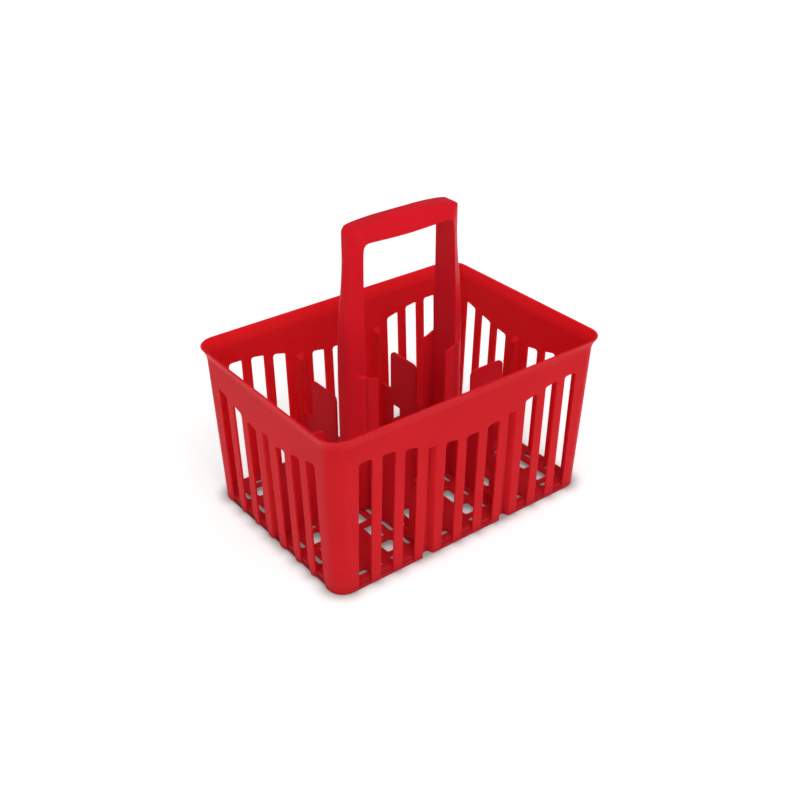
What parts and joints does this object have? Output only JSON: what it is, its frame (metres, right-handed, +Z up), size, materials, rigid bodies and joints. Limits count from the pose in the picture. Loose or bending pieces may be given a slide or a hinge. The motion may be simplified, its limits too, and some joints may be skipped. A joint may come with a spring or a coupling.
{
  "type": "milk bottle crate",
  "caption": "Slotted plastic carrier basket with a flared rim, upright dividers that part the bottles, and an arched carrying handle over the middle.",
  "frame": {"origin": "middle of the base, on the surface that the basket stands on", "axes": "+X along the basket's length and along the grip, +Y across it towards the back, +Z up"},
  "size_m": [0.34, 0.243, 0.3203],
  "materials": {
    "crate_plastic": "satin injection-moulded polyethylene, tomato red"
  },
  "bodies": {
    "root": {"wall_front": "crate_plastic", "wall_back": "crate_plastic", "wall_left": "crate_plastic", "wall_right": "crate_plastic", "corner_front_left": "crate_plastic", "corner_front_right": "crate_plastic", "corner_back_left": "crate_plastic", "corner_back_right": "crate_plastic", "floor": "crate_plastic", "grip": "crate_plastic", "leg_left": "crate_plastic", "column_left": "crate_plastic", "spine_left": "crate_plastic", "divider_front_left": "crate_plastic", "divider_back_left": "crate_plastic", "leg_right": "crate_plastic", "column_right": "crate_plastic", "spine_right": "crate_plastic", "divider_front_right": "crate_plastic", "divider_back_right": "crate_plastic", "spine_middle": "crate_plastic"}
  },
  "joints": []
}
